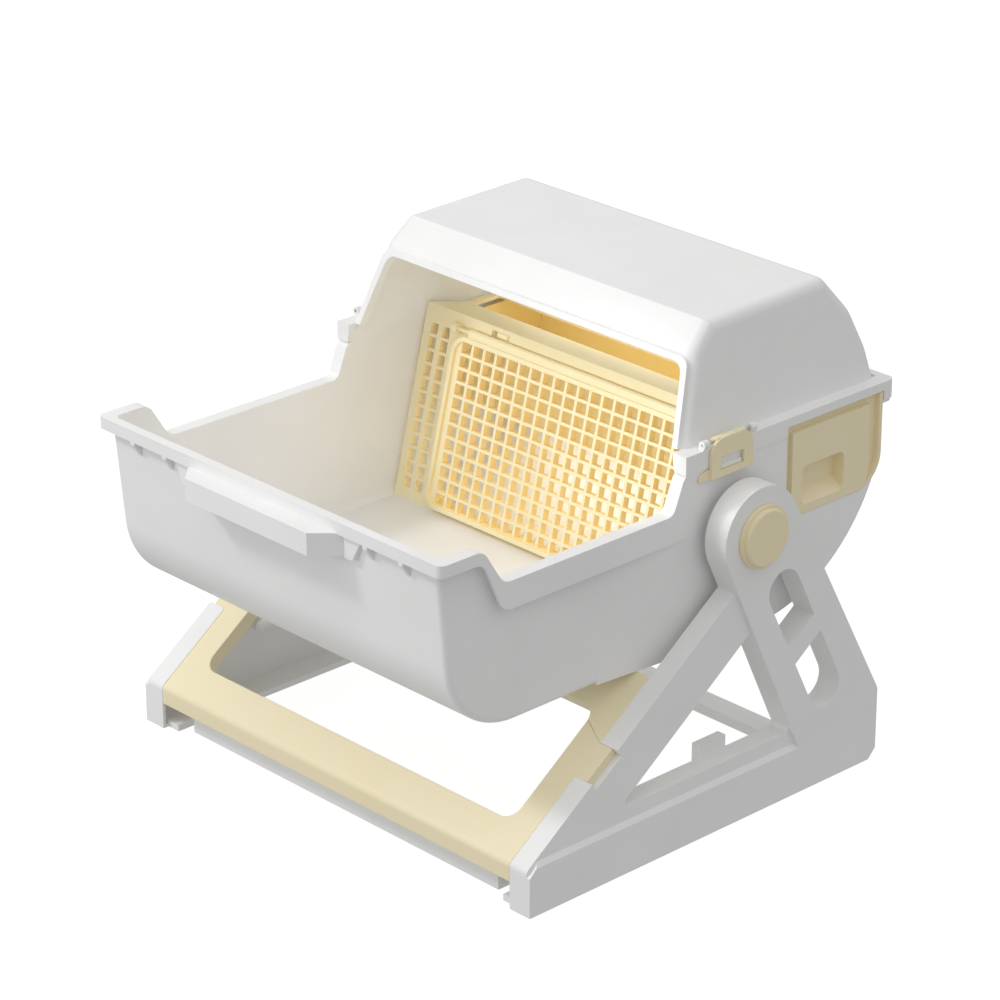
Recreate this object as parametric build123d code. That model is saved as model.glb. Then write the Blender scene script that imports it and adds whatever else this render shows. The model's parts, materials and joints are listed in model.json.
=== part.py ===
from build123d import *
import math
import os

os.makedirs("parts", exist_ok=True)

# Shared sizes
pivot_height = 262.0
wall = 3.0
overrun = 60.0
rest_gap = 0.4
run_gap = 0.5
pin_fit = 0.05

# Tub, measured from the pivot axis
wall_reach = 328.0
front_lean = 16.0
lip_out = 6.0
handle_depth = 18.0
rear_top = 188.5
rear_lean = 3.0
rear_lip = 11.5
floor_drop = 103.5
front_round = 75.0
rear_round = 158.0
tub_half = 207.0
lip_side = 10.0
lip_round = 7.0
lip_lift = 3.0
lip_band = 11.0
rim_drop = 32.0
rim_band = 25.0
flange_rise = 61.0
ear_length = 46.0
ear_slope = 22.0
mouth_front = 60.0
rise_slope = 13.0
ear_round = 14.0
rise_round = 9.0
taper_length = 100.0
taper_tail = 10.0
side_round = 6.0
inner_chamfer = 4.0
ledge_depth = 2.5
ledge_height = 4.0

# Front handle and lugs
grip_half = 77.0
grip_flare = 17.0
grip_drop = 10.0
grip_height = 20.0
plate_side = 45.5
plate_taper = 15.5
plate_drop = 28.5
plate_thick = 2.0
plate_round = 3.0
lug_insets = (35.0, 77.5)
lug_width = 5.0
lug_nose = 3.0
lug_height = 15.0

# Hood, measured from the pivot axis
hood_inset = 2.0
hood_taper = 19.0
hood_step = 5.5
hood_flange_side = 1.0
hood_flange_height = 17.0
brow_set = 35.0
brow_height = 74.0
crease_set = 23.0
crease_height = 22.0
roof_set = 54.0
roof_height = 3.0
shoulder_set = 24.0
shoulder_drop = 36.0
back_set = 9.0
back_drop = 36.0
hood_wall = 2.4
hood_round = 12.0
hood_back_round = 45.0
mouth_gap = 8.0
mouth_margin = 4.0
mouth_round = 11.0
trim_width = 6.0
trim_proud = 2.0
trim_back = 7.0

# Stand
stand_front = 268.0
stand_rear = 156.0
side_gap = 9.0
frame_thick = 24.0
web_recess = 4.0
front_bevel = 12.0
front_bevel_drop = 11.0
rail_band_height = 48.0
rail_height = 61.0
rear_face_lift = 7.0
rear_face_round = 10.0
toe_bevel = 9.0
strut_rise = 42.0
strut_angle = 35.7
strut_depth = 46.0
strut_round = 8.0
leg_foot_rear = 47.0
leg_head_radius = 44.0
window_round = 4.0
slot_start = 67.0
slot_length = 123.0
slot_radius = 19.0
slot_brace = 20.0
foot_reach = 14.0
foot_thick = 6.0
foot_inset = 6.0
rail_tab_start = 220.0
rail_tab_length = 32.0
rail_tab_height = 22.0
rail_tab_proud = 13.0
rail_tab_reach = 6.0
bore_wall = 7.0

# Tie frame and bars
tie_thick = 14.0
tie_front_bar = 34.0
tie_upper_bar = 45.0
tie_side_bar = 27.0
tie_round = 14.0
tie_lip_low = 25.0
tie_lip_thick = 12.0
tab_start = 92.0
tab_length = 36.0
tab_reach = 14.0
tab_thick = 8.0
floor_bar_inset = 13.0
floor_bar_depth = 20.0
floor_bar_lift = 1.5
floor_bar_height = 16.0
floor_bar_end_gap = 13.0
floor_bar_tongue = 9.0
rear_bar_inset = 37.0
rear_bar_depth = 24.0
rear_bar_height = 10.0

# Pivot pins
journal_radius = 20.0
stem_radius = 15.0
cap_radius = 28.0
cap_proud = 8.0
cap_step = 4.0
cap_ledge = 2.5
cap_round = 1.5
boss_radius = 27.0

# Sieve, measured up its slope from the tub floor
sieve_foot = 9.0
sieve_angle = 14.0
sieve_thick = 4.0
sieve_lift = 16.0
sieve_side_gap = 3.0
slot_set = 17.0
slot_depth = 35.0
slot_end = 8.0
plate_set = 16.5
strip_width = 49.0
gate_low = 4.0
gate_top_gap = 17.0
gate_thick = 7.0
gate_round = 16.0
gate_overlap = 6.0
gate_rim_width = 4.0
gate_rim_proud = 2.5
gate_pin_radius = 1.8
gate_knuckle = 5.0
gate_lug_length = 6.0
gate_pin_up = 4.0
hole_columns = 19
hole_rows = 12
side_columns = 2
grid_bar = 3.0
grid_bar_up = 2.8
grid_margin = 5.0
side_bar = 6.5
strip_inner = 15.0
strip_outer = 9.5
clip_set = 46.0
clip_size = 9.0
clip_length = 13.0
clip_thick = 2.0

# Drawer and its bay
drawer_front = 65.0
drawer_set = 3.5
drawer_lift = 8.0
drawer_height = 85.0
drawer_face_thick = 8.0
drawer_face_round = 14.0
drawer_rear_round = 30.0
panel_front = 6.0
panel_rear = 16.0
panel_top = 7.0
panel_round = 16.0
drawer_rim = 4.0
groove_depth = 5.0
tray_wall = 2.0
tray_inset = 4.0
tray_rear_inset = 10.0
tray_top_gap = 14.0
tray_end_gap = 6.0
recess_set = 19.0
recess_width = 53.0
recess_lift = 18.0
recess_height = 26.0
recess_depth = 13.0
recess_slope = 10.0
recess_round = 6.0
bay_wall = 2.0

# Latches
latch_set = 27.0
latch_width = 50.0
latch_low = 10.0
latch_thick = 3.2
latch_gap = 0.6
latch_round = 15.0
latch_axis_up = 4.5
latch_axis_in = 2.0
latch_barrel = 3.6
latch_pin_radius = 1.5
latch_lug_width = 6.0
window_width = 28.0
window_height = 12.0
window_low = 6.0
catch_height = 3.4
catch_proud = 3.4
catch_side_gap = 2.0
toe_length = 12.0
toe_height = 9.0
toe_slope = 4.0

# Derived places
lip_reach = wall_reach + lip_out
wall_foot_reach = wall_reach - front_lean
rear_foot = rear_top - rear_lean
lip_rise = flange_rise + lip_lift
rim_rise = flange_rise - rim_drop
ear_back = lip_reach - ear_length
dip_front = ear_back - ear_slope
rise_front = mouth_front + rise_slope
taper_rear = mouth_front - taper_tail
taper_front = taper_rear + taper_length
front_reach = lip_reach + handle_depth
rear_reach = rear_top + rear_lip
hood_rear = rear_top + hood_step
pivot_y = (front_reach - rear_reach) / 2
lip_half = tub_half + lip_side
cavity_half = tub_half - wall
flange_half = lip_half + hood_flange_side
hood_half = tub_half - hood_inset
hood_top_half = hood_half - hood_taper
frame_inner = lip_half + side_gap
frame_outer = frame_inner + frame_thick
frame_web = frame_outer - web_recess
stand_front_y = pivot_y - stand_front
stand_rear_y = pivot_y + stand_rear
floor_z = pivot_height - floor_drop
flange_z = pivot_height + flange_rise
hood_flange_z = flange_z + hood_flange_height
brow_back = mouth_front - brow_set
brow_rise = flange_rise + hood_flange_height + brow_height
crease_back = brow_back - crease_set
crease_rise = brow_rise + crease_height
roof_rear = hood_rear - roof_set
roof_rise = crease_rise + roof_height
shoulder_rear = hood_rear - shoulder_set
shoulder_rise = roof_rise - shoulder_drop
back_rear = hood_rear - back_set
back_rise = shoulder_rise - back_drop


# Shape helpers
def outline(corners):
    """Closed flat face from corners given as (a, b) or (a, b, radius)."""
    points = [Vector(c[0], c[1]) for c in corners]
    radii = [c[2] if len(c) > 2 else 0 for c in corners]
    count = len(points)
    starts, middles, ends = [], [], []
    for i in range(count):
        corner = points[i]
        back = (points[i - 1] - corner).normalized()
        ahead = (points[(i + 1) % count] - corner).normalized()
        if radii[i] == 0:
            starts.append(corner)
            middles.append(None)
            ends.append(corner)
            continue
        half = math.radians(back.get_angle(ahead)) / 2
        bisector = (back + ahead).normalized()
        reach = radii[i] / math.tan(half)
        starts.append(corner + back * reach)
        middles.append(corner + bisector * (radii[i] / math.sin(half) - radii[i]))
        ends.append(corner + ahead * reach)
    edges = []
    for i in range(count):
        if middles[i] is not None:
            edges.append(ThreePointArc(starts[i], middles[i], ends[i]))
        following = starts[(i + 1) % count]
        if (following - ends[i]).length > pin_fit / 10:
            edges.append(Line(ends[i], following))
    return make_face(edges)


def pivot_face(corners):
    """Side face from corners measured from the pivot axis."""
    return outline([(pivot_y + c[0], pivot_height + c[1], *c[2:]) for c in corners])


def across(face, x0, x1):
    """Side face pulled across the box from x0 to x1."""
    return extrude(Plane.YZ.offset(x0) * face, amount=x1 - x0)


def upward(face, z0, z1):
    """Plan face pulled up from z0 to z1."""
    return extrude(Plane.XY.offset(z0) * face, amount=z1 - z0)


def rearward(face, y0, y1):
    """Front face pulled back from y0 to y1."""
    plane = Plane(origin=(0, y1, 0), x_dir=(1, 0, 0), z_dir=(0, -1, 0))
    return extrude(plane * face, amount=y1 - y0)


def block(x0, x1, y0, y1, z0, z1):
    """Box between two corners."""
    middle = Pos((x0 + x1) / 2, (y0 + y1) / 2, (z0 + z1) / 2)
    return middle * Box(x1 - x0, y1 - y0, z1 - z0)


def rod_x(x0, x1, y, z, radius):
    """Round bar along X."""
    return Pos((x0 + x1) / 2, y, z) * Rot(0, 90, 0) * Cylinder(radius, x1 - x0)


def rod_y(y0, y1, x, z, radius):
    """Round bar along Y."""
    return Pos(x, (y0 + y1) / 2, z) * Rot(90, 0, 0) * Cylinder(radius, y1 - y0)


def rect(a0, a1, b0, b1, radius=0):
    """Flat rectangle with equal corner radii."""
    return outline([(a0, b0, radius), (a1, b0, radius), (a1, b1, radius), (a0, b1, radius)])


def meet(p, d, q, e):
    """Point where the line from p along d crosses the line from q along e."""
    cross = d[0] * e[1] - d[1] * e[0]
    t = ((q[0] - p[0]) * e[1] - (q[1] - p[1]) * e[0]) / cross
    return (p[0] + d[0] * t, p[1] + d[1] * t)


def tangent(p, centre, radius, side):
    """Point where the line from p touches a circle, on the given side."""
    a, b = centre[0] - p[0], centre[1] - p[1]
    gap = math.hypot(a, b)
    turn = math.atan2(b, a) + side * math.asin(radius / gap)
    run = math.sqrt(gap * gap - radius * radius)
    return (p[0] + run * math.cos(turn), p[1] + run * math.sin(turn))


def both(shape):
    """Shape with its mirror image across the box."""
    return shape + mirror(shape, about=Plane.YZ)


def save(shape, node):
    """Write one node."""
    export_step(shape, f"parts/{node}.step")


# Slope shared by the struts and the tie frame
slope = math.radians(strut_angle)
slope_dir = (math.cos(slope), math.sin(slope))
strut_start = (stand_front_y, strut_rise)
slope_plane = Plane(
    origin=(0, stand_front_y, strut_rise),
    x_dir=(1, 0, 0),
    z_dir=(0, -math.sin(slope), math.cos(slope)),
)
tie_end = (floor_z - rest_gap - strut_rise) / math.sin(slope)


def on_slope(s, depth=0):
    """Side point a distance up the slope and a depth under its surface."""
    y = stand_front_y + s * math.cos(slope) + depth * math.sin(slope)
    z = strut_rise + s * math.sin(slope) - depth * math.cos(slope)
    return (y, z)


# Side frames
head = (pivot_y, pivot_height)
leg_front = (pivot_y + leg_foot_rear, rail_height)
leg_back = (stand_rear_y, rail_height + rear_face_lift)
touch_front = tangent(leg_front, head, leg_head_radius, 1)
touch_back = tangent(leg_back, head, leg_head_radius, -1)
leg_dir = (touch_front[0] - leg_front[0], touch_front[1] - leg_front[1])
strut_top = meet(strut_start, slope_dir, leg_front, leg_dir)
strut_low = meet(on_slope(0, strut_depth), slope_dir, leg_front, leg_dir)
window_front = meet(on_slope(0, strut_depth), slope_dir, leg_front, (1, 0))
leg_ground = meet(leg_front, leg_dir, (stand_front_y, 0), (1, 0))
head_disc = Pos(*head) * Circle(leg_head_radius)
rail_end = [
    (stand_rear_y, toe_bevel),
    (stand_rear_y - toe_bevel, 0),
]
frame_face = outline(
    [
        (stand_front_y, 0),
        (stand_front_y, strut_rise, strut_round),
        strut_top,
        touch_front,
        touch_back,
        (*leg_back, rear_face_round),
        *rail_end,
    ]
)
frame_face = frame_face + head_disc
leg_corner = (*leg_back, rear_face_round)
leg_face = outline([leg_front, touch_front, touch_back, leg_corner, *rail_end, leg_ground])
leg_face = leg_face + head_disc
window_face = outline([(*p, window_round) for p in (window_front, strut_low, leg_front)])
leg_axis = ((leg_front[0] + stand_rear_y) / 2 - head[0], rail_height - head[1])
leg_turn = math.degrees(math.atan2(leg_axis[1], leg_axis[0]))
slot_middle = slot_start + slot_length / 2
slot_place = Pos(*head) * Rot(0, 0, leg_turn) * Pos(slot_middle, 0)
slot_face = slot_place * SlotCenterToCenter(slot_length, slot_radius * 2)
brace_face = slot_place * Rot(0, 0, strut_angle - leg_turn) * Rectangle(slot_length, slot_brace)
slot_face = slot_face - brace_face
band_face = outline(
    [
        (stand_front_y, 0),
        (stand_front_y, rail_band_height - front_bevel_drop),
        (stand_front_y + front_bevel, rail_band_height),
        (stand_rear_y, rail_band_height),
        *rail_end,
    ]
)
band = across(band_face, frame_inner, frame_outer)
band_edge = band.edges().filter_by(Axis.Y).group_by(Axis.Z)[-1].sort_by(Axis.X)[-1]
band = chamfer(band_edge, web_recess)
notch_face = outline(
    [
        on_slope(tab_start - pin_fit, -overrun),
        on_slope(tab_start - pin_fit, tab_thick),
        on_slope(tab_start + tab_length + pin_fit, tab_thick),
        on_slope(tab_start + tab_length + pin_fit, -overrun),
    ]
)
notch_rim = outline(
    [
        on_slope(tab_start - wall, 0),
        on_slope(tab_start - wall, tab_thick + wall),
        on_slope(tab_start + tab_length + wall, tab_thick + wall),
        on_slope(tab_start + tab_length + wall, 0),
    ]
)
open_face = frame_face - window_face - slot_face
pocket_face = offset(open_face, amount=-wall, kind=Kind.INTERSECTION)
pocket_face = pocket_face - Pos(*head) * Circle(journal_radius + bore_wall) - notch_rim
frame = across(frame_face, frame_inner, frame_web) + across(leg_face, frame_inner, frame_outer) + band
frame = frame - across(window_face, 0, frame_outer + overrun)
frame = frame - across(slot_face, 0, frame_outer + overrun)
frame = frame - across(pocket_face, 0, frame_web - wall)
frame = frame - rod_x(0, frame_outer + overrun, *head, journal_radius + pin_fit)
frame = frame - across(notch_face, 0, frame_outer + overrun)
foot_y0 = stand_front_y + foot_inset
foot_y1 = stand_rear_y - toe_bevel - foot_inset
foot_x0 = frame_inner - foot_reach
frame = frame + block(foot_x0, frame_inner + wall, foot_y0, foot_y1, 0, foot_thick)
tab_y0 = stand_front_y + rail_tab_start
tab_z1 = rail_height + rail_tab_proud
frame = frame + block(
    frame_inner - rail_tab_reach,
    frame_inner + wall,
    tab_y0,
    tab_y0 + rail_tab_length,
    tab_z1 - rail_tab_height,
    tab_z1,
)
save(frame, "side_frame_right")
save(mirror(frame, about=Plane.YZ), "side_frame_left")

# Front tie frame
under_y = stand_front_y + tie_lip_thick
under_point = meet(on_slope(0, tie_thick), slope_dir, (under_y, 0), (0, 1))
tie_face = outline(
    [
        (stand_front_y, tie_lip_low),
        (stand_front_y, strut_rise, strut_round),
        on_slope(tie_end),
        on_slope(tie_end, tie_thick),
        under_point,
        (under_y, tie_lip_low),
    ]
)
tie = across(tie_face, -frame_inner, frame_inner)
tie_open_half = frame_inner - tie_side_bar
tie_opening = rect(-tie_open_half, tie_open_half, tie_front_bar, tie_end - tie_upper_bar, tie_round)
tie = tie - extrude(slope_plane * tie_opening, amount=overrun, both=True)
tab_plan = rect(frame_inner - wall, frame_inner + tab_reach, tab_start, tab_start + tab_length)
tie = tie + both(extrude(slope_plane * tab_plan, amount=-tab_thick))
tie_rim = rect(
    -tie_open_half - wall,
    tie_open_half + wall,
    tie_front_bar - wall,
    tie_end - tie_upper_bar + wall,
    tie_round + wall,
)
inner_y = stand_front_y + wall
hollow_top = meet(on_slope(0, wall), slope_dir, (inner_y, 0), (0, 1))
hollow_face = outline(
    [
        (inner_y, -overrun),
        hollow_top,
        on_slope(tie_end - wall, wall),
        on_slope(tie_end - wall, tie_thick + overrun),
    ]
)
tie_hollow = across(hollow_face, wall - frame_inner, frame_inner - wall)
tie_hollow = tie_hollow - extrude(slope_plane * tie_rim, amount=overrun * 2, both=True)
save(tie - tie_hollow, "front_tie_frame")

# Floor bars
bar_y0 = stand_front_y + floor_bar_inset
bar_half = foot_x0 - floor_bar_end_gap
floor_bar = block(-bar_half, bar_half, bar_y0, bar_y0 + floor_bar_depth, floor_bar_lift, floor_bar_height)
tongue_y0 = bar_y0 + floor_bar_depth - floor_bar_tongue
floor_bar = floor_bar + block(
    -frame_inner, frame_inner, tongue_y0, bar_y0 + floor_bar_depth, foot_thick, floor_bar_height
)
floor_bar = floor_bar - block(
    wall - bar_half,
    bar_half - wall,
    bar_y0 + wall,
    bar_y0 + floor_bar_depth - wall,
    0,
    floor_bar_height - wall,
)
save(floor_bar, "front_floor_bar")
rear_bar_y1 = stand_rear_y - rear_bar_inset
rear_bar = block(
    -frame_inner,
    frame_inner,
    rear_bar_y1 - rear_bar_depth,
    rear_bar_y1,
    foot_thick,
    foot_thick + rear_bar_height,
)
rear_bar = rear_bar - block(
    wall - frame_inner,
    frame_inner - wall,
    rear_bar_y1 - rear_bar_depth + wall,
    rear_bar_y1 - wall,
    0,
    foot_thick + rear_bar_height - wall,
)
save(rear_bar, "rear_cross_bar")

# Tub walls
lip_top_y = pivot_y - lip_reach
rear_lip_y = pivot_y + rear_reach - hood_flange_side
tub_front = (-wall_foot_reach, -floor_drop, front_round)
tub_rear = (rear_foot, -floor_drop, rear_round)
tub_back = [(rear_top, flange_rise), (rear_top, lip_rise)]
shell_face = pivot_face([(-wall_reach, lip_rise), tub_front, tub_rear, *tub_back])
cavity_face = pivot_face(
    [
        (wall - wall_reach, lip_rise),
        (wall - wall_foot_reach, wall - floor_drop, front_round - wall),
        (rear_foot - wall, wall - floor_drop, rear_round - wall),
        (rear_top - wall, flange_rise),
        (rear_top - wall, lip_rise),
    ]
)
rim_face = pivot_face(
    [
        (-front_reach - overrun, -floor_drop - overrun),
        (-front_reach - overrun, lip_rise),
        (-ear_back, lip_rise, ear_round),
        (-dip_front, rim_rise, ear_round),
        (-rise_front, rim_rise, rise_round),
        (-mouth_front, flange_rise, rise_round),
        (rear_reach + overrun, flange_rise),
        (rear_reach + overrun, -floor_drop - overrun),
    ]
)
shell = across(shell_face, -tub_half, tub_half)
shell_sides = shell.edges().filter_by(lambda e: abs(abs(e.center().X) - tub_half) < wall)
shell_sides = shell_sides.filter_by(lambda e: e.center().Z < flange_z - wall)
shell = fillet(shell_sides, side_round)
cavity = across(cavity_face, -cavity_half, cavity_half)
cavity_sides = cavity.edges().filter_by(lambda e: abs(abs(e.center().X) - cavity_half) < wall)
cavity_sides = cavity_sides.filter_by(lambda e: e.center().Z < flange_z - wall)
cavity = chamfer(cavity_sides, inner_chamfer)
rim_cut = across(rim_face, -frame_outer, frame_outer)
tub = (shell - cavity) & rim_cut

# Tub lip and side skirts
lip_plan = rect(-lip_half, lip_half, lip_top_y, rear_lip_y, lip_round)
skirt_plan = lip_plan - rect(
    wall - lip_half, lip_half - wall, lip_top_y + wall, rear_lip_y - wall, lip_round - wall
)
cavity_y0 = pivot_y + wall - wall_reach
cavity_y1 = pivot_y + rear_top - wall
cavity_plan = rect(-cavity_half, cavity_half, cavity_y0, cavity_y1, side_round)
plate_face = rim_face - offset(rim_face, amount=-wall)
lip_z1 = pivot_height + lip_rise
lip_plate = upward(lip_plan - cavity_plan, floor_z, lip_z1) & across(plate_face, -frame_outer, frame_outer)
band_front = pivot_face(
    [
        (-front_reach - overrun, lip_rise),
        (-front_reach - overrun, lip_rise - lip_band),
        (-ear_back, lip_rise - lip_band, ear_round),
        (-dip_front, rim_rise - rim_band, ear_round),
        (-taper_rear, rim_rise - rim_band),
        (-taper_rear, lip_rise),
    ]
)
skirt = upward(skirt_plan, floor_z, lip_z1) & across(band_front & rim_face, -frame_outer, frame_outer)
tub = tub + lip_plate + skirt
taper_y0 = pivot_y - taper_front
taper_y1 = pivot_y - taper_rear
cheek_plan = outline(
    [
        (tub_half, taper_y0),
        (lip_half, taper_y1),
        (lip_half, pivot_y + rear_top),
        (lip_half - wall, pivot_y + rear_top),
        (lip_half - wall, taper_y1),
        (tub_half - wall, taper_y0),
    ]
)
cheek = upward(cheek_plan, floor_z, flange_z) & across(shell_face, 0, frame_outer) & rim_cut
boss = rod_x(cavity_half, frame_inner - run_gap, *head, boss_radius)
tub = tub + both(cheek + boss)
tub = tub - both(rod_x(tub_half, frame_outer, *head, stem_radius))

# Ledge for the sieve plate, and the drawer's hole
drawer_y0 = pivot_y + drawer_front
drawer_y1 = pivot_y + rear_top - drawer_set
drawer_z1 = flange_z + drawer_lift
drawer_z0 = drawer_z1 - drawer_height
ledge = block(
    cavity_half - ledge_depth,
    cavity_half + wall / 2,
    drawer_y0 + slot_set,
    pivot_y + rear_foot,
    flange_z - ledge_height,
    flange_z,
)
tub = tub + mirror(ledge, about=Plane.YZ)
face_corners = [
    (drawer_y0, drawer_z0, drawer_face_round),
    (drawer_y1, drawer_z0, drawer_rear_round),
    (drawer_y1, drawer_z1, 0),
    (drawer_y0, drawer_z1, 0),
]
drawer_face = outline(face_corners)
tray_y0 = drawer_y0 + tray_inset
tray_y1 = drawer_y1 - tray_rear_inset
tray_z1 = drawer_z1 - tray_top_gap
tray_face = outline(
    [
        (tray_y0, drawer_z0, drawer_face_round),
        (tray_y1, drawer_z0, drawer_rear_round),
        (tray_y1, tray_z1),
        (tray_y0, tray_z1),
    ]
)
tub = tub - across(offset(tray_face, amount=run_gap), tub_half / 2, frame_outer)
face_room = offset(drawer_face, amount=run_gap)
face_room = face_room + rect(drawer_y0, pivot_y + rear_reach, drawer_z0 + drawer_rear_round, flange_z - wall)
tub = tub - across(face_room, tub_half, frame_outer)

# Tub handle, lugs and catches
grip_z1 = pivot_height + lip_rise - grip_drop
grip_y0 = pivot_y - front_reach
wall_y = pivot_y - wall_reach
grip_slope = grip_flare / handle_depth


def grip_plan(inset, rear_y):
    """Handle plan with flared sides, drawn in by an inset and ended at a rear line."""
    side = grip_half - inset * math.hypot(1, grip_slope)
    front_half = side + grip_slope * inset
    rear_half = side + grip_slope * (rear_y - grip_y0)
    front_y = grip_y0 + inset
    return outline([(-front_half, front_y), (front_half, front_y), (rear_half, rear_y), (-rear_half, rear_y)])


grip = upward(grip_plan(0, wall_y + wall), grip_z1 - grip_height, grip_z1)
grip = grip - upward(grip_plan(wall, wall_y - plate_thick), grip_z1 - grip_height, grip_z1 - wall)
plate_z1 = pivot_height + lip_rise - wall
plate_half = grip_half + plate_side
plate_front = outline(
    [
        (-plate_half, plate_z1),
        (plate_half, plate_z1),
        (plate_half - plate_taper, plate_z1 - plate_drop, plate_round),
        (plate_taper - plate_half, plate_z1 - plate_drop, plate_round),
    ]
)
grip = grip + rearward(plate_front, wall_y - plate_thick, wall_y + wall_reach)
lug_z1 = pivot_height + lip_rise - lip_band + wall
lug_face = outline(
    [
        (lip_top_y, lug_z1),
        (lip_top_y, lug_z1 - wall - lug_nose),
        (wall_y + wall, lug_z1 - wall - lug_height),
        (wall_y + wall, lug_z1),
    ]
)
for inset in lug_insets:
    lug_x1 = tub_half - inset
    grip = grip + both(across(lug_face, lug_x1 - lug_width, lug_x1))
outside = across(cavity_face, -cavity_half, cavity_half)
tub = tub + (grip - outside)
latch_y0 = pivot_y - mouth_front + latch_set
latch_y1 = latch_y0 + latch_width
latch_x0 = flange_half + latch_gap
latch_z0 = flange_z - latch_low
window_y0 = (latch_y0 + latch_y1 - window_width) / 2
window_y1 = window_y0 + window_width
window_z0 = latch_z0 + window_low
catch_z0 = window_z0 + latch_gap
catch = block(
    lip_half - wall / 2,
    lip_half + catch_proud,
    window_y0 + catch_side_gap,
    window_y1 - catch_side_gap,
    catch_z0,
    min(catch_z0 + catch_height, flange_z),
)
tub = tub + both(catch)
save(tub, "tub")

# Hood
hood_face = pivot_face(
    [
        (-mouth_front + mouth_gap, 0),
        (-mouth_front + mouth_gap, flange_rise + hood_flange_height),
        (-brow_back, brow_rise),
        (-crease_back, crease_rise),
        (roof_rear, roof_rise, hood_round),
        (shoulder_rear, shoulder_rise, hood_back_round),
        (back_rear, back_rise, hood_back_round),
        (hood_rear, flange_rise),
        (hood_rear, 0),
    ]
)
roof_z = pivot_height + roof_rise
hood_front_face = outline(
    [
        (-hood_half, pivot_height),
        (-hood_half, hood_flange_z),
        (-hood_top_half, roof_z + wall),
        (hood_top_half, roof_z + wall),
        (hood_half, hood_flange_z),
        (hood_half, pivot_height),
    ]
)
hood_y0 = pivot_y - front_reach
hood_y1 = pivot_y + rear_reach
hood = across(hood_face, -frame_inner, frame_inner) & rearward(hood_front_face, hood_y0, hood_y1)
hood_inner_face = offset(hood_face, amount=-hood_wall)
hood_inner_front = offset(hood_front_face, amount=-hood_wall)
hood_hollow = across(hood_inner_face, -frame_inner, frame_inner)
hood_hollow = hood_hollow & rearward(hood_inner_front, hood_y0, hood_y1)


def upper_edges(shape, low):
    """Edges of a hood solid above its flange, but for its flat creases."""
    found = shape.edges().filter_by(lambda e: e.center().Z > low)
    return found.filter_by(lambda e: abs(e.center().X) > hood_top_half / 2)


hood = fillet(upper_edges(hood, hood_flange_z), hood_round)
hood_hollow = fillet(upper_edges(hood_hollow, hood_flange_z), hood_round - hood_wall)
hood = hood - hood_hollow
hood = hood - block(-frame_inner, frame_inner, hood_y0, hood_y1, 0, flange_z)
flange_y0 = pivot_y - mouth_front
flange_y1 = pivot_y + rear_reach
flange_plan = outline(
    [
        (-flange_half, flange_y0),
        (flange_half, flange_y0),
        (flange_half, flange_y1, lip_round),
        (-flange_half, flange_y1, lip_round),
    ]
)
flange_inner = outline(
    [
        (hood_wall - flange_half, flange_y0 + hood_wall),
        (flange_half - hood_wall, flange_y0 + hood_wall),
        (flange_half - hood_wall, flange_y1 - hood_wall, lip_round - hood_wall),
        (hood_wall - flange_half, flange_y1 - hood_wall, lip_round - hood_wall),
    ]
)
inside_half = hood_half - hood_wall
inside_plan = rect(-inside_half, inside_half, flange_y0 - overrun, pivot_y + hood_rear - hood_wall)
flange = upward(flange_plan - inside_plan, flange_z, hood_flange_z)
hood_plan = rect(-hood_half, hood_half, flange_y0, pivot_y + hood_rear)
flange = flange - upward(flange_inner - hood_plan, flange_z, hood_flange_z - hood_wall)
hood = hood + flange
notch_gap = run_gap * 2
hood = hood - block(
    hood_half + run_gap,
    frame_outer,
    drawer_y0 - notch_gap,
    drawer_y1 + notch_gap,
    0,
    drawer_z1 + notch_gap,
)

# Hood mouth and its trim
mouth_low = (pivot_y - mouth_front + mouth_gap, hood_flange_z)
mouth_top = (pivot_y - brow_back, pivot_height + brow_rise)
mouth_lean = math.atan2(mouth_top[0] - mouth_low[0], mouth_top[1] - mouth_low[1])
mouth_height = math.hypot(mouth_top[0] - mouth_low[0], mouth_top[1] - mouth_low[1])
mouth_plane = Plane(
    origin=(0, *mouth_low),
    x_dir=(1, 0, 0),
    z_dir=(0, -math.cos(mouth_lean), math.sin(mouth_lean)),
)
side_lean = (hood_half - hood_top_half) / (roof_z + wall - hood_flange_z)


def mouth_shape(margin, low):
    """Mouth outline inside the hood's front edge by a margin, down to a low line."""
    top = mouth_height - margin
    top_half = hood_half - side_lean * (mouth_top[1] - mouth_low[1]) - margin
    base_half = hood_half - margin
    low_half = base_half - (base_half - top_half) * low / top
    return outline(
        [
            (-low_half, low),
            (-top_half, top, mouth_round),
            (top_half, top, mouth_round),
            (low_half, low),
        ]
    )


mouth_hole = mouth_shape(mouth_margin, -hood_flange_height * 2)
mouth_cut = extrude(mouth_plane * mouth_hole, amount=overrun / 2, both=True)
mouth_cut = mouth_cut - block(-frame_outer, frame_outer, pivot_y, hood_y1, 0, roof_z)
hood = hood - mouth_cut
trim_face = mouth_shape(mouth_margin, 0) - mouth_shape(mouth_margin + trim_width, 0)
trim = extrude(mouth_plane * trim_face, amount=trim_proud)
trim = trim + extrude(mouth_plane * trim_face, amount=-trim_back)
trim = trim - block(-frame_outer, frame_outer, hood_y0, hood_y1, 0, hood_flange_z)
save(trim, "opening_trim")

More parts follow.
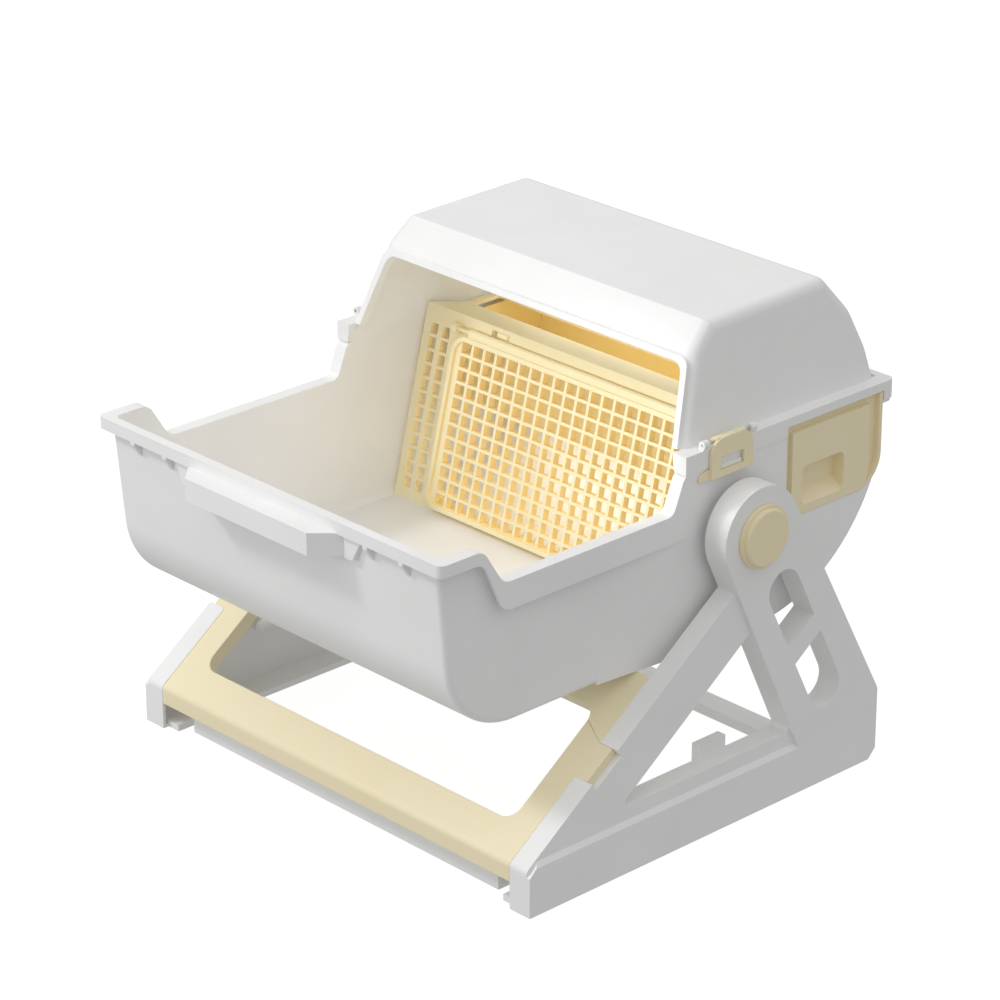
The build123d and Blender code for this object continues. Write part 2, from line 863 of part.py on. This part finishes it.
# Latch hinges on the hood
axis_x = flange_half - latch_axis_in
axis_z = hood_flange_z + latch_axis_up
hinge_lug = rod_y(latch_y0 - run_gap - latch_lug_width, latch_y0 - run_gap, axis_x, axis_z, latch_barrel)
hinge_lug = hinge_lug + block(
    axis_x - latch_barrel,
    axis_x + latch_barrel / 2,
    latch_y0 - run_gap - latch_lug_width,
    latch_y0 - run_gap,
    hood_flange_z - wall,
    axis_z,
)
hinge_lug = hinge_lug + Pos(0, latch_width + run_gap * 2 + latch_lug_width, 0) * hinge_lug
pin_y0 = latch_y0 - run_gap - latch_lug_width
pin_y1 = latch_y1 + run_gap + latch_lug_width
hinge_lug = hinge_lug - rod_y(pin_y0, pin_y1, axis_x, axis_z, latch_pin_radius)
hood = hood + both(hinge_lug)
save(hood, "hood")
latch_pin = rod_y(pin_y0, pin_y1, axis_x, axis_z, latch_pin_radius)
save(Compound(children=[latch_pin, mirror(latch_pin, about=Plane.YZ)]), "latch_pins")

# Latches
latch_z1 = axis_z + latch_barrel
latch_face = outline(
    [
        (latch_y0, latch_z0),
        (latch_y1, latch_z0),
        (latch_y1, latch_z1, latch_round),
        (latch_y0, latch_z1, latch_round),
    ]
)
window = rect(window_y0, window_y1, window_z0, window_z0 + window_height)
latch = across(latch_face - window, latch_x0, latch_x0 + latch_thick)
barrel_y0 = latch_y0 + latch_round / 2
barrel_y1 = latch_y1 - latch_round / 2
latch = latch + rod_y(barrel_y0, barrel_y1, axis_x, axis_z, latch_barrel)
web_z0 = axis_z - latch_barrel / 2
latch = latch + block(axis_x, latch_x0 + latch_thick / 2, barrel_y0, barrel_y1, web_z0, latch_z1)
latch = latch - rod_y(pin_y0, pin_y1, axis_x, axis_z, latch_pin_radius + pin_fit)
toe_face = outline(
    [
        (latch_y0 - toe_length, latch_z0),
        (latch_y0 + toe_slope, latch_z0),
        (latch_y0 + toe_slope, latch_z0 + toe_height),
        (latch_y0, latch_z0 + toe_height),
        (latch_y0 - toe_length, latch_z0 + toe_height - toe_slope),
    ]
)
latch = latch + across(toe_face, lip_half + run_gap, latch_x0 + latch_gap)
save(latch, "latch_right")
save(mirror(latch, about=Plane.YZ), "latch_left")

# Pivot pins
stem_x0 = tub_half + wall
pin = rod_x(stem_x0, frame_inner - run_gap, *head, stem_radius)
pin = pin + rod_x(frame_inner - run_gap, frame_outer + rest_gap, *head, journal_radius)
cap = rod_x(frame_outer + rest_gap, frame_outer + cap_proud, *head, cap_radius - cap_ledge)
cap_edge = cap.edges().filter_by(GeomType.CIRCLE).sort_by(Axis.X)[-1]
cap = chamfer(cap_edge, cap_round)
pin = pin + cap + rod_x(frame_outer + rest_gap, frame_outer + cap_step, *head, cap_radius)
save(pin, "pivot_pin_right")
save(mirror(pin, about=Plane.YZ), "pivot_pin_left")

# Sieve frame
sieve_turn = math.radians(sieve_angle)
sieve_origin = (0, pivot_y - sieve_foot, floor_z + wall)
sieve_plane = Plane(
    origin=sieve_origin,
    x_dir=(1, 0, 0),
    z_dir=(0, -math.cos(sieve_turn), math.sin(sieve_turn)),
)
sieve_half = cavity_half - sieve_side_gap
sieve_rise = (sieve_lift + flange_rise + floor_drop - wall) / math.cos(sieve_turn)
gate_half = sieve_half - strip_width
gate_high = sieve_rise - gate_top_gap
sieve_top_y = pivot_y - sieve_foot + sieve_rise * math.sin(sieve_turn)
sieve_top_z = floor_z + wall + sieve_rise * math.cos(sieve_turn)


def grid(columns, rows, x0, x1, low, high, bar):
    """Rows and columns of holes between two corners of the slope, with bars between them."""
    width = (x1 - x0 - (columns - 1) * bar) / columns
    height = (high - low - (rows - 1) * grid_bar_up) / rows
    holes = []
    for i in range(columns):
        for j in range(rows):
            place = Pos(x0 + width / 2 + i * (width + bar), low + height / 2 + j * (height + grid_bar_up))
            holes.append(place * Rectangle(width, height))
    return holes


gate_open_half = gate_half - gate_overlap
gate_open_low = gate_low + gate_overlap
gate_open_high = gate_high - gate_overlap
gate_opening = rect(-gate_open_half, gate_open_half, gate_open_low, gate_open_high, gate_round)
sieve_face = rect(-sieve_half, sieve_half, 0, sieve_rise) - gate_opening
strip_x0 = gate_half + strip_inner
strip_x1 = sieve_half - strip_outer
side_holes = []
for x0, x1 in ((strip_x0, strip_x1), (-strip_x1, -strip_x0)):
    side_holes += grid(side_columns, hole_rows, x0, x1, gate_open_low, gate_high, side_bar)
clip_y = (gate_high + sieve_rise) / 2
clip_x = clip_set - gate_half
clip_notch = Pos(clip_x - clip_size / 2, clip_y) * Rectangle(clip_size, clip_size)
clip_tab = rect(clip_x, clip_x + clip_length, clip_y - clip_size / 2, clip_y + clip_size / 2)
sieve_face = sieve_face - side_holes - clip_notch
sieve = extrude(sieve_plane * sieve_face, amount=-sieve_thick)
sieve = sieve + extrude(sieve_plane * clip_tab, amount=clip_thick)
slot_y0 = drawer_y0 + slot_set
slot_y1 = slot_y0 + slot_depth
plate_y1 = pivot_y + rear_top - plate_set
plate_z = flange_z + sieve_thick
top_face = outline(
    [
        (sieve_top_y, sieve_top_z),
        (slot_y0, plate_z),
        (plate_y1, plate_z),
        (plate_y1, plate_z - sieve_thick),
        (slot_y0, plate_z - sieve_thick),
        (sieve_top_y, sieve_top_z - sieve_thick),
    ]
)
top_plate = across(top_face, -sieve_half, sieve_half)
slot_half = sieve_half - slot_end
top_plate = top_plate - block(-slot_half, slot_half, slot_y0, slot_y1, floor_z, roof_z)
sieve = sieve + top_plate
gate_axis_up = gate_high + gate_pin_up
gate_axis_out = run_gap + gate_thick / 2
lug_at = gate_half + run_gap


def slope_rod(x0, x1, radius):
    """Round bar along the gate's hinge line."""
    place = sieve_plane * Pos((x0 + x1) / 2, gate_axis_up, gate_axis_out) * Rot(0, 90, 0)
    return place * Cylinder(radius, x1 - x0)


knuckle = slope_rod(lug_at, lug_at + gate_lug_length, gate_knuckle)
sieve = sieve + both(knuckle)
pin_end = lug_at + gate_lug_length - run_gap
sieve = sieve - both(slope_rod(lug_at - overrun, pin_end, gate_pin_radius + pin_fit))
sieve = sieve - slope_rod(-lug_at, lug_at, gate_knuckle + run_gap)
room = cavity + block(-cavity_half, cavity_half, hood_y0, hood_y1, flange_z, roof_z)
save(sieve & room, "sieve_frame")

# Sieve gate
gate_face = outline(
    [
        (-gate_half, gate_low, gate_round),
        (gate_half, gate_low, gate_round),
        (gate_half, gate_high, gate_round),
        (-gate_half, gate_high, gate_round),
    ]
)
grid_half = gate_half - gate_overlap - grid_margin
grid_low = gate_low + grid_margin
grid_high = gate_high - grid_margin
grid_place = (-grid_half, grid_half, grid_low, grid_high)
gate_rim = gate_face - offset(gate_face, amount=-gate_rim_width)
gate_face = gate_face - grid(hole_columns, hole_rows, *grid_place, grid_bar)
gate = extrude(sieve_plane.offset(run_gap) * gate_face, amount=gate_thick)
gate = gate + extrude(sieve_plane.offset(run_gap + gate_thick) * gate_rim, amount=gate_rim_proud)
arm_half = gate_half - gate_round
arm = rect(-arm_half, arm_half, gate_high - gate_pin_up, gate_axis_up)
gate = gate + extrude(sieve_plane.offset(run_gap) * arm, amount=gate_thick)
gate = gate + slope_rod(-arm_half, arm_half, gate_thick / 2)
gate_pin_half = pin_end - run_gap
gate = gate + slope_rod(-gate_pin_half, gate_pin_half, gate_pin_radius)
save(gate, "sieve_gate")

# Drawer bay
bay_y0 = drawer_y0 - run_gap - bay_wall
bay_half = cavity_half - run_gap
bay_z0 = drawer_z0 - bay_wall - run_gap
bay_face = outline(
    [
        (bay_y0, plate_z - sieve_thick),
        (bay_y0, bay_z0),
        (drawer_y1, bay_z0),
        (drawer_y1, bay_z0 + bay_wall),
        (bay_y0 + bay_wall, bay_z0 + bay_wall),
        (bay_y0 + bay_wall, plate_z - sieve_thick),
    ]
)
bay = across(bay_face, -bay_half, bay_half) & cavity
save(bay, "drawer_bay")

# Waste drawer
face_x1 = lip_half + run_gap
face_x0 = face_x1 - drawer_face_thick
drawer = across(drawer_face, face_x0, face_x1)
panel_face = outline(
    [
        (drawer_y0 + panel_front, drawer_z0, drawer_face_round),
        (drawer_y1 - panel_rear, drawer_z0, panel_round),
        (drawer_y1 - panel_rear, drawer_z1 - panel_top),
        (drawer_y0 + panel_front, drawer_z1 - panel_top),
    ]
)
rim_inner = offset(drawer_face, amount=-drawer_rim)
groove_z1 = drawer_z1 + drawer_rim
rim_inner = rim_inner + rect(drawer_y0 - drawer_rim, drawer_y0 + panel_front, drawer_z0, groove_z1)
rim_inner = rim_inner + rect(drawer_y0, drawer_y1 - drawer_rim, drawer_z1 - panel_top, groove_z1)
drawer = drawer - across(rim_inner - panel_face, face_x1 - groove_depth, frame_outer)
tray_x0 = tray_end_gap - cavity_half
tray_hollow = outline(
    [
        (tray_y0 + tray_wall, drawer_z0 + tray_wall, drawer_face_round - tray_wall),
        (tray_y1 - tray_wall, drawer_z0 + tray_wall, drawer_rear_round - tray_wall),
        (tray_y1 - tray_wall, roof_z),
        (tray_y0 + tray_wall, roof_z),
    ]
)
tray = across(tray_face, tray_x0, face_x0) - across(tray_hollow, tray_x0 + tray_wall, face_x0)
drawer = drawer + tray
recess_y0 = drawer_y0 + recess_set
recess_y1 = recess_y0 + recess_width
recess_z0 = drawer_z0 + recess_lift
recess_z1 = recess_z0 + recess_height


def scoop(skin, x1):
    """Finger recess with a floor that slopes outward, grown by a skin."""
    x0 = face_x1 - recess_depth - skin
    z0 = recess_z0 - skin
    fall = recess_slope / recess_depth * (x1 - x0)
    side = outline([(x0, z0), (x1, z0 - fall), (x1, recess_z1 + skin), (x0, recess_z1 + skin)])
    front = rect(recess_y0 - skin, recess_y1 + skin, z0 - fall, recess_z1 + skin, recess_round)
    return rearward(side, recess_y0 - skin, recess_y1 + skin) & across(front, x0, x1)


drawer = drawer + scoop(tray_wall, face_x0) - scoop(0, face_x1)
save(drawer, "waste_drawer")
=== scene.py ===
import json
import math

import bpy
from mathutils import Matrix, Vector

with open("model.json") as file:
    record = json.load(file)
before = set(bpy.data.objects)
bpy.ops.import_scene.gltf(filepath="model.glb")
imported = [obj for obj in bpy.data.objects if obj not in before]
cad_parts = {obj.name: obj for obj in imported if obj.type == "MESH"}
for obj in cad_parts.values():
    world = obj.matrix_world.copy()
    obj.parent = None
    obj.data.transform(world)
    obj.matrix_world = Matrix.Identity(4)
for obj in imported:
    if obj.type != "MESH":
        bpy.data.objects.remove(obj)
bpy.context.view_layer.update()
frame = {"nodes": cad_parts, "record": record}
nodes = frame["nodes"]
record = frame["record"]
openings = {row["name"]: row["box_m"] for row in record["physics"]["openings"]}

# Camera, found from the vanishing points of the photograph
camera_place = Vector((2.2730, -2.1385, 1.5965))
camera_azimuth = math.radians(46.6)
camera_elevation = math.radians(23.52)
camera_lens = 141.12
camera_sensor = 36.0

# Slope of the sieve from upright, and the height from which its top plate starts
sieve_lean = math.radians(14)
sieve_plate_low = openings["waste_slot"][0][2]

# How squarely a face looks along the sieve's slope: a rib's side, and its front; between them the
# painted shade on the rib sides fades out
rib_side_facing = 0.3
rib_front_facing = 0.9

# Where the drawer's tray lies: behind this front, and up to the drawer's face; there its colour is
# deepened with painted shade
tray_front = 0.12
tray_face = openings["drawer_inside"][1][0]

# Plastic: slow tone clouds, uneven gloss and the fine spark texture of the mould
cloud_scale = 14.0
cloud_detail = 3.0
gloss_scale = 60.0
gloss_detail = 4.0
gloss_swing = 0.05
spark_scale = 1600.0
spark_detail = 2.0
spark_strength = 0.10
spark_depth = 0.0002

# Steel wire: fine marks, and the range of its gloss
wire_tone = (0.62, 0.62, 0.60)
wire_scale = 2500.0
wire_detail = 2.0
wire_smooth = 0.22
wire_rough = 0.4

# The part of a noise's range that most of its values lie in
noise_low = 0.3
noise_high = 0.7

# Floor
floor_half = 9.0
floor_tone = (0.25, 0.25, 0.25)
floor_rough = 0.9
floor_glow = 0.9

# Edge rounding of the pieces, in metres
weld_distance = 0.00001
edge_angle = math.radians(28)
edge_segments = 2
edge_rounds = {
    "side_frame_right": 0.0020,
    "side_frame_left": 0.0020,
    "front_tie_frame": 0.0012,
    "front_floor_bar": 0.0012,
    "rear_cross_bar": 0.0012,
    "tub": 0.0012,
    "hood": 0.0010,
    "opening_trim": 0.0008,
    "sieve_frame": 0.0008,
    "sieve_gate": 0.0005,
    "drawer_bay": 0.0006,
    "waste_drawer": 0.0008,
    "latch_right": 0.0005,
    "latch_left": 0.0005,
    "latch_pins": 0.0002,
    "pivot_pin_right": 0.0006,
    "pivot_pin_left": 0.0006,
}


def opaque(tone):
    """Gives a colour its fourth value."""
    return (*tone, 1.0)


def noise(tree, place, scale, detail):
    """Adds a noise texture in the part's own coordinates."""
    node = tree.nodes.new("ShaderNodeTexNoise")
    node.inputs["Scale"].default_value = scale
    node.inputs["Detail"].default_value = detail
    tree.links.new(place.outputs["Object"], node.inputs["Vector"])
    return node


def spread(tree, source, low, high):
    """Maps the middle of a noise's range to the range asked for."""
    node = tree.nodes.new("ShaderNodeMapRange")
    node.inputs["From Min"].default_value = noise_low
    node.inputs["From Max"].default_value = noise_high
    node.inputs["To Min"].default_value = low
    node.inputs["To Max"].default_value = high
    tree.links.new(source.outputs["Fac"], node.inputs["Value"])
    return node


def axes(tree, place):
    """Splits the part's own coordinates."""
    node = tree.nodes.new("ShaderNodeSeparateXYZ")
    tree.links.new(place.outputs["Object"], node.inputs["Vector"])
    return node


def compare(tree, source, test, limit):
    """Gives 1 where a value lies past a limit."""
    node = tree.nodes.new("ShaderNodeMath")
    node.operation = test
    node.inputs[1].default_value = limit
    tree.links.new(source, node.inputs[0])
    return node


def larger(tree, first, second):
    """Gives the larger of two shares."""
    node = tree.nodes.new("ShaderNodeMath")
    node.operation = "MAXIMUM"
    tree.links.new(first, node.inputs[0])
    tree.links.new(second, node.inputs[1])
    return node


def blend(tree, share, side, tone):
    """Mixes a deeper colour with the plain tone; the deeper colour is painted shade, and on the
    drawer's tray also its own yellow.
    """
    node = tree.nodes.new("ShaderNodeMix")
    node.data_type = "RGBA"
    node.inputs["A"].default_value = opaque(side)
    tree.links.new(share, node.inputs["Factor"])
    tree.links.new(tone.outputs["Result"], node.inputs["B"])
    return node


def rib_side_painted_shade(tree, place, tone, side):
    """Paints shade: an orange colour on faces that turn away from the sieve's slope, such as the
    sides of thin ribs and holes, below the top plate.
    """
    facing = tree.nodes.new("ShaderNodeVectorMath")
    facing.operation = "DOT_PRODUCT"
    facing.inputs[1].default_value = (0.0, -math.cos(sieve_lean), math.sin(sieve_lean))
    tree.links.new(place.outputs["Normal"], facing.inputs[0])
    share = tree.nodes.new("ShaderNodeMapRange")
    share.inputs["From Min"].default_value = rib_side_facing
    share.inputs["From Max"].default_value = rib_front_facing
    tree.links.new(facing.outputs["Value"], share.inputs["Value"])
    above = compare(tree, axes(tree, place).outputs["Z"], "GREATER_THAN", sieve_plate_low)
    plain = larger(tree, share.outputs["Result"], above.outputs["Value"])
    return blend(tree, plain.outputs["Value"], side, tone)


def tray_tone_and_painted_shade(tree, place, tone, side):
    """Gives the drawer's tray, behind its face, its own yellow, deepened to orange as painted shade
    for its shaded inside.
    """
    split = axes(tree, place)
    ahead = compare(tree, split.outputs["Y"], "LESS_THAN", tray_front)
    outside = compare(tree, split.outputs["X"], "GREATER_THAN", tray_face)
    plain = larger(tree, ahead.outputs["Value"], outside.outputs["Value"])
    return blend(tree, plain.outputs["Value"], side, tone)


def moulded(name, pale, deep, rough, glow, side=None, where=None):
    """A satin moulded plastic, with a painted shade colour where a function puts it, and a faint
    painted glow in its deeper tone that lifts its shade.
    """
    material = bpy.data.materials.new(name)
    material.use_nodes = True
    tree = material.node_tree
    shader = tree.nodes["Principled BSDF"]
    place = tree.nodes.new("ShaderNodeTexCoord")
    # Painted light: the plastic glows faintly in its deeper tone to lighten its shaded parts, most
    # on the yellow plastic
    shader.inputs["Emission Color"].default_value = opaque(deep)
    shader.inputs["Emission Strength"].default_value = glow

    clouds = noise(tree, place, cloud_scale, cloud_detail)
    tone = tree.nodes.new("ShaderNodeMix")
    tone.data_type = "RGBA"
    tone.inputs["A"].default_value = opaque(pale)
    tone.inputs["B"].default_value = opaque(deep)
    tone_share = spread(tree, clouds, 0.0, 1.0)
    tree.links.new(tone_share.outputs["Result"], tone.inputs["Factor"])
    paint = tone
    if where:
        paint = where(tree, place, tone, side)
    tree.links.new(paint.outputs["Result"], shader.inputs["Base Color"])

    gloss = noise(tree, place, gloss_scale, gloss_detail)
    gloss_range = spread(tree, gloss, rough - gloss_swing, rough + gloss_swing)
    tree.links.new(gloss_range.outputs["Result"], shader.inputs["Roughness"])

    sparks = noise(tree, place, spark_scale, spark_detail)
    relief = tree.nodes.new("ShaderNodeBump")
    relief.inputs["Strength"].default_value = spark_strength
    relief.inputs["Distance"].default_value = spark_depth
    tree.links.new(sparks.outputs["Fac"], relief.inputs["Height"])
    tree.links.new(relief.outputs["Normal"], shader.inputs["Normal"])
    return material


def drawn_steel(name):
    """Bright wire with fine marks in its gloss."""
    material = bpy.data.materials.new(name)
    material.use_nodes = True
    tree = material.node_tree
    shader = tree.nodes["Principled BSDF"]
    shader.inputs["Metallic"].default_value = 1.0
    shader.inputs["Base Color"].default_value = opaque(wire_tone)
    place = tree.nodes.new("ShaderNodeTexCoord")
    marks = noise(tree, place, wire_scale, wire_detail)
    marks_range = spread(tree, marks, wire_smooth, wire_rough)
    tree.links.new(marks_range.outputs["Result"], shader.inputs["Roughness"])
    return material


# Finishes, one for each material slot of the record
finishes = {
    "white_plastic": moulded(
        "white_plastic",
        pale=(0.88, 0.88, 0.875),
        deep=(0.85, 0.85, 0.845),
        rough=0.42,
        glow=0.02,
    ),
    "cream_plastic": moulded(
        "cream_plastic",
        pale=(0.89, 0.80, 0.55),
        deep=(0.88, 0.78, 0.52),
        rough=0.42,
        glow=0.02,
        # The tray's own yellow, deepened to orange as painted shade
        side=(0.94, 0.76, 0.34),
        where=tray_tone_and_painted_shade,
    ),
    "yellow_plastic": moulded(
        "yellow_plastic",
        pale=(0.87, 0.78, 0.52),
        deep=(0.86, 0.75, 0.46),
        rough=0.44,
        glow=0.09,
        # Painted shade: the orange that the rib and hole sides of the sieve take
        side=(0.92, 0.70, 0.27),
        where=rib_side_painted_shade,
    ),
    "pin_steel": drawn_steel("pin_steel"),
}

for subpart in record["subparts"]:
    node = nodes[subpart["node"]]
    node.data.materials.clear()
    node.data.materials.append(finishes[subpart["material_slot"]])


def round_edges(node, width):
    """Rounds a piece's sharp edges without touching its mesh."""
    weld = node.modifiers.new("weld", "WELD")
    weld.merge_threshold = weld_distance
    bevel = node.modifiers.new("bevel", "BEVEL")
    bevel.width = width
    bevel.segments = edge_segments
    bevel.limit_method = "ANGLE"
    bevel.angle_limit = edge_angle
    bevel.miter_outer = "MITER_ARC"
    normals = node.modifiers.new("normals", "WEIGHTED_NORMAL")
    normals.keep_sharp = False


for name, width in edge_rounds.items():
    round_edges(nodes[name], width)


def paper_floor():
    """A white floor that glows enough to hide its own shading, and lights nothing."""
    corners = ((-1, -1), (1, -1), (1, 1), (-1, 1))
    mesh = bpy.data.meshes.new("floor")
    mesh.from_pydata([(x * floor_half, y * floor_half, 0.0) for x, y in corners], [], [(0, 1, 2, 3)])
    paint = bpy.data.materials.new("floor_paint")
    paint.use_nodes = True
    shader = paint.node_tree.nodes["Principled BSDF"]
    shader.inputs["Base Color"].default_value = opaque(floor_tone)
    shader.inputs["Roughness"].default_value = floor_rough
    shader.inputs["Specular IOR Level"].default_value = 0.0
    shader.inputs["Emission Color"].default_value = opaque((1.0, 1.0, 1.0))
    shader.inputs["Emission Strength"].default_value = floor_glow
    mesh.materials.append(paint)
    floor = bpy.data.objects.new("floor", mesh)
    bpy.context.scene.collection.objects.link(floor)
    floor.visible_diffuse = False
    floor.visible_glossy = False
    return floor


floor = paper_floor()


def room_light(overhead, side, below):
    """A soft white room whose brightness follows the height of the view."""
    world = bpy.data.worlds.new("studio")
    world.use_nodes = True
    tree = world.node_tree
    place = tree.nodes.new("ShaderNodeTexCoord")
    split = tree.nodes.new("ShaderNodeSeparateXYZ")
    ramp = tree.nodes.new("ShaderNodeValToRGB")
    height = tree.nodes.new("ShaderNodeMapRange")
    height.inputs["From Min"].default_value = -1.0
    height.inputs["From Max"].default_value = 1.0
    tree.links.new(place.outputs["Generated"], split.inputs["Vector"])
    tree.links.new(split.outputs["Z"], height.inputs["Value"])
    tree.links.new(height.outputs["Result"], ramp.inputs["Fac"])
    stops = ramp.color_ramp.elements
    stops[0].color = (below, below, below, 1.0)
    stops[1].color = (overhead, overhead, overhead, 1.0)
    middle = stops.new(0.5)
    middle.color = (side, side, side, 1.0)
    tree.links.new(ramp.outputs["Color"], tree.nodes["Background"].inputs["Color"])
    bpy.context.scene.world = world


def softbox(name, place, aim, width, height, power, carrier=None):
    """A rectangular light that faces a point, and moves with a carrier if it has one."""
    data = bpy.data.lights.new(name, "AREA")
    data.shape = "RECTANGLE"
    data.size = width
    data.size_y = height
    data.energy = power
    lamp = bpy.data.objects.new(name, data)
    lamp.location = place
    lamp.rotation_mode = "QUATERNION"
    lamp.rotation_quaternion = (Vector(aim) - Vector(place)).to_track_quat("-Z", "Y")
    lamp.visible_camera = False
    if carrier:
        lamp.parent = carrier
        lamp.matrix_parent_inverse = carrier.matrix_world.inverted()
    bpy.context.scene.collection.objects.link(lamp)


# Studio lights, sizes in metres and power in watts
box_middle = (0.0, 0.0, 0.25)
room_light(overhead=0.94, side=0.35, below=0.50)
softbox("key", place=(-1.3, -1.6, 2.15), aim=box_middle, width=0.4, height=0.4, power=19.0)
softbox("right", place=(2.2, -0.2, 1.35), aim=box_middle, width=1.2, height=1.2, power=0.25)
softbox("fill", place=(-1.2, -2.6, 0.8), aim=(0.0, 0.1, 0.3), width=1.0, height=1.0, power=14.0)

# Small lamps inside the tub, in place of the daylight that thin plastic lets through
softbox(
    "inside",
    place=(0.14, -0.12, 0.35),
    aim=(-0.15, 0.14, 0.33),
    width=0.16,
    height=0.08,
    power=0.17,
    carrier=nodes["tub"],
)
softbox(
    "chamber",
    place=(0.0, 0.165, 0.236),
    aim=(0.0, 0.15, 0.16),
    width=0.3,
    height=0.05,
    power=0.08,
    carrier=nodes["tub"],
)
softbox(
    "plate",
    place=(0.0, 0.2, 0.36),
    aim=(0.0, 0.19, 0.25),
    width=0.3,
    height=0.04,
    power=0.08,
    carrier=nodes["tub"],
)
softbox(
    "drawer",
    place=(0.0, 0.165, 0.29),
    aim=(0.0, 0.26, 0.285),
    width=0.36,
    height=0.03,
    power=0.045,
    carrier=nodes["tub"],
)

bpy.context.scene.view_settings.view_transform = "Standard"

# Camera
camera_data = bpy.data.cameras.new("camera")
camera_data.lens = camera_lens
camera_data.sensor_width = camera_sensor
camera = bpy.data.objects.new("camera", camera_data)
bpy.context.scene.collection.objects.link(camera)
backwards = Vector((
    math.sin(camera_azimuth) * math.cos(camera_elevation),
    -math.cos(camera_azimuth) * math.cos(camera_elevation),
    math.sin(camera_elevation),
))
camera.location = camera_place
camera.rotation_mode = "QUATERNION"
camera.rotation_quaternion = (-backwards).to_track_quat("-Z", "Y")
bpy.context.scene.camera = camera
